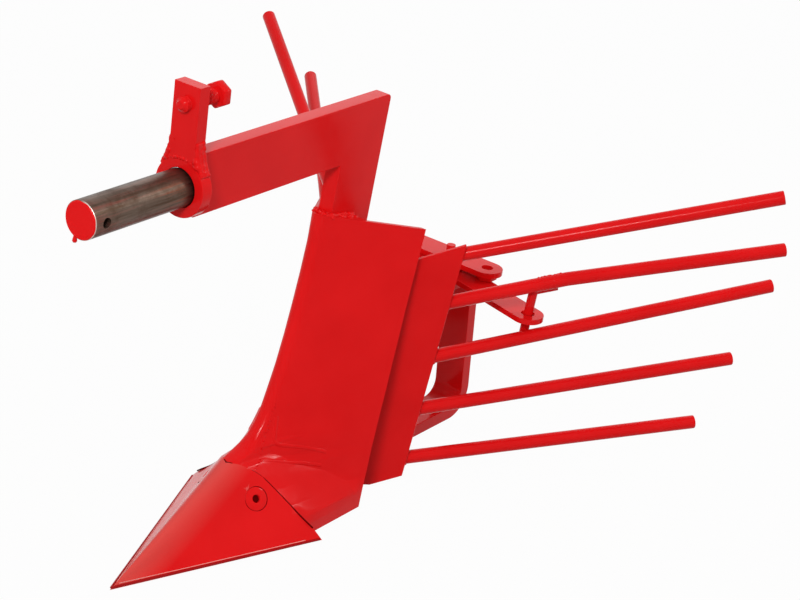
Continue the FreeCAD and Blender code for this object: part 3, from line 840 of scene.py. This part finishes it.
# The same red enamel on the cutting edge's rim, made darker as painted shade on its underside.
rimShade = makeEnamel("rimShadeRedEnamel", dict(enamel, body=shareRim["rimShade"], thin=shareRim["rimShade"]))
# A thin pale line along the edge, with a dry, dull look: paint rubbed almost through to pale pink primer, and
# a painted highlight on the rolled edge.
primerAndHighlight, tree, output, place = newMaterial("rubbedPrimerAndHighlight")
shader = addNode(tree, "ShaderNodeBsdfPrincipled", {"Base Color": linear(shareRim["rubbedHighlight"]),
                                                    "Roughness": shareRim["wornRoughness"]})
tree.links.new(shader.outputs[0], output.inputs["Surface"])


def alongRim(parts):
    return [tuple(t + (c - t) * part for t, c in zip(shareRim["tip"], shareRim["corner"])) for part in parts]


for sideName, side in (("left", 1), ("right", -1)):
    rim = [onSide(side, spot) for spot in alongRim(shareRim["parts"])]
    tube("shareRim_" + sideName, rim, shareRim["radius"], rimShade)
    # the pale line above the rim: rubbed primer and a painted highlight
    rubbedHighlight = [justAbove(shareSurface, (side * x, y, z + shareRim["wornUp"]), shareRim["wornSunk"])
            for x, y, z in alongRim(shareRim["wornParts"])]
    tube("shareWearAndSheen_" + sideName, rubbedHighlight, shareRim["wornRadius"], primerAndHighlight)

# where the sheet was dressed down over the share's seat
bodyFolds = {
    "Main": ((14.2, 119.0, -267.0), (18.0, 130.4, -269.2), (23.4, 144.2, -273.8), (30.6, 159.9, -277.4),
             (37.0, 173.0, -281.5)),
    "Upper": ((9.4, 140.6, -235.0), (11.8, 138.1, -246.3), (13.7, 133.8, -257.6), (21.0, 147.6, -261.0),
              (29.7, 164.3, -265.0), (37.1, 177.8, -270.5)),
}
foldRadius, foldSunk = 2.6, -2.0
for foldName, line in bodyFolds.items():
    for sideName, side in (("left", 1), ("right", -1)):
        points = [justAbove(bodySurface, onSide(side, spot), foldSunk) for spot in line]
        tube("bodyFold" + foldName + "_" + sideName, points, foldRadius, redEnamel)

# painted shade: a dark line round each bolt's head, and a dark floor in its socket
boltShade = {"ringHalf": 0.35, "ringTop": 0.45, "ringBottom": -0.3, "floorGap": 0.05, "floorTop": 0.5,
             "floorEdge": 0.4, "floorBottom": 0.1, "steps": 48}
bm = bmesh.new()
edge = shareBolt["headRadius"] + boltShade["ringHalf"]
inside, outside = edge - boltShade["ringHalf"], edge + boltShade["ringHalf"]
floorRadius = shareBolt["socketRadius"] - boltShade["floorGap"]
socketFloor = shareBolt["proud"] - shareBolt["socketDepth"]
for side in (1, -1):
    centre, outward = onSide(side, shareBolt["centre"]), onSide(side, shareBolt["outward"])
    turned(bm, [(inside, 0.0), (edge, boltShade["ringTop"]), (outside, 0.0), (edge, boltShade["ringBottom"]),
                (inside, 0.0)], centre, outward, boltShade["steps"])
    turned(bm, [(0.0, socketFloor + boltShade["floorTop"]),
                (floorRadius, socketFloor + boltShade["floorEdge"]),
                (floorRadius, socketFloor + boltShade["floorBottom"]),
                (0.0, socketFloor + boltShade["floorBottom"])], centre, outward)
finishPiece(bm, "shareBolts_shade", "plough_frame", paintedShade)

paintRun = {
    "centre": (-5.5, -102.0, -13.6),
    "radius": 1.9,
    "drop": 5.6,
    "top": 1.0,
    "shoulder": (0.5, 0.6),                                       # part of the radius, and mm up
    "below": ((0.8, 0.4), (1.0, 0.75), (0.7, 0.95), (0.0, 1.05)),   # parts of the radius and of the drop
    "steps": 20,
}
bm = bmesh.new()
radius, drop, shoulder = paintRun["radius"], paintRun["drop"], paintRun["shoulder"]
turned(bm, [(0.0, paintRun["top"]), (shoulder[0] * radius, shoulder[1])]
       + [(wide * radius, -down * drop) for wide, down in paintRun["below"]], paintRun["centre"], (0, 0, 1),
       paintRun["steps"])
finishPiece(bm, "paintRun_drop", "plough_frame", redEnamel)
print("share finished")


def seenDirectly(tree):
    # 1 where the camera sees the backdrop, itself or mirrored in the paint and the steel
    path = tree.nodes.new("ShaderNodeLightPath")
    seen = path.outputs["Is Camera Ray"]
    for other in ("Is Glossy Ray", "Is Transmission Ray"):
        either = addNode(tree, "ShaderNodeMath", {"operation": "MAXIMUM"})
        tree.links.new(seen, either.inputs[0])
        tree.links.new(path.outputs[other], either.inputs[1])
        seen = either.outputs[0]
    return seen


# metres from here on
floor = {"side": 14.0, "under": 0.0005, "colour": "B4B2AF", "whiteness": 0.97}
low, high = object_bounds()
bm = bmesh.new()
bmesh.ops.create_grid(bm, x_segments=1, y_segments=1, size=floor["side"] / 2)
bmesh.ops.translate(bm, vec=(0, 0, low[2] - floor["under"]), verts=bm.verts)
mesh = bpy.data.meshes.new("floor")
bm.to_mesh(mesh)
bm.free()
ground = bpy.data.objects.new("floor", mesh)
bpy.context.scene.collection.objects.link(ground)
# Matt white paper sweep: it takes a faint shadow and is otherwise as white as the background.
material, tree, output, place = newMaterial("paperSweep")
paper = addNode(tree, "ShaderNodeBsdfDiffuse", {"Color": linear(floor["colour"])})
glow = addNode(tree, "ShaderNodeEmission", {"Color": linear("FFFFFF"), "Strength": 1.0})
lifted = addNode(tree, "ShaderNodeMath", {"operation": "MULTIPLY"})
lifted.inputs[1].default_value = floor["whiteness"]
tree.links.new(seenDirectly(tree), lifted.inputs[0])
blend = addNode(tree, "ShaderNodeMixShader")
tree.links.new(lifted.outputs[0], blend.inputs[0])
tree.links.new(paper.outputs[0], blend.inputs[1])
tree.links.new(glow.outputs[0], blend.inputs[2])
tree.links.new(blend.outputs[0], output.inputs["Surface"])
mesh.materials.append(material)

# a soft white room, a little brighter behind the plough than in front of it
studio = {"ambient": 0.55, "behind": 0.2, "behindRange": (0.1, 0.9)}
world = bpy.data.worlds.new("studio")
bpy.context.scene.world = world
world.use_nodes = True
tree = world.node_tree
tree.nodes.clear()
output = tree.nodes.new("ShaderNodeOutputWorld")
direction = tree.nodes.new("ShaderNodeTexCoord").outputs["Generated"]
towards = addNode(tree, "ShaderNodeSeparateXYZ", Vector=direction)
glowing = ramp(tree, towards.outputs["Y"], *studio["behindRange"], studio["ambient"],
               studio["ambient"] + studio["behind"])
strength = mixColour(tree, seenDirectly(tree), glowing, (1.0, 1.0, 1.0, 1.0))
back = addNode(tree, "ShaderNodeBackground", {"Color": linear("FFFFFF")}, Strength=strength)
tree.links.new(back.outputs[0], output.inputs["Surface"])

lamps = {
    "keyLamp": {"place": (0.95, -1.85, 1.4), "target": (0, 0.2, -0.15), "size": (0.5, 0.5), "watts": 37.0},
    "backLamp": {"place": (-1.4, 2.0, 1.1), "target": (0, 0.1, -0.1), "size": (1.5, 1.1), "watts": 4.0},
    "glintLamp": {"place": (0.88, 1.06, 0.70), "target": (0.02, 0.135, -0.27), "size": (0.22, 0.07),
                  "watts": 3.0},
    "fillLamp": {"place": (-1.6, -0.9, 1.2), "target": (0, 0.2, -0.15), "size": (1.2, 1.2), "watts": 2.0},
}
for lampName, settings in lamps.items():
    lamp = bpy.data.lights.new(lampName, "AREA")
    lamp.shape = "RECTANGLE"
    lamp.size, lamp.size_y = settings["size"]
    lamp.energy = settings["watts"]
    holder = bpy.data.objects.new(lampName, lamp)
    bpy.context.scene.collection.objects.link(holder)
    holder.location = settings["place"]
    aim = Vector(settings["target"]) - Vector(settings["place"])
    holder.rotation_euler = aim.to_track_quat("-Z", "Y").to_euler()

shot = {"place": (0.9929, -1.1865, 0.6178), "azimuth": 33.49, "elevation": 23.98, "roll": 7.72, "lens": 100.8,
        "sensorWidth": 36.0, "clipEnd": 50.0}
azimuth, elevation, roll = (math.radians(shot[k]) for k in ("azimuth", "elevation", "roll"))
right = Vector((math.cos(azimuth), math.sin(azimuth), 0))
back = Vector((math.sin(azimuth) * math.cos(elevation), -math.cos(azimuth) * math.cos(elevation),
               math.sin(elevation)))
up = back.cross(right)
tiltedRight = right * math.cos(roll) + up * math.sin(roll)
tiltedUp = up * math.cos(roll) - right * math.sin(roll)
lens = bpy.data.cameras.new("camera")
lens.lens = shot["lens"]
lens.sensor_width = shot["sensorWidth"]
lens.clip_end = shot["clipEnd"]
camera = bpy.data.objects.new("camera", lens)
bpy.context.scene.collection.objects.link(camera)
camera.matrix_world = Matrix((
    (tiltedRight.x, tiltedUp.x, back.x, shot["place"][0]),
    (tiltedRight.y, tiltedUp.y, back.y, shot["place"][1]),
    (tiltedRight.z, tiltedUp.z, back.z, shot["place"][2]),
    (0, 0, 0, 1)))
bpy.context.scene.camera = camera
bpy.context.scene.view_settings.view_transform = "Standard"
print("floor, light and camera set")
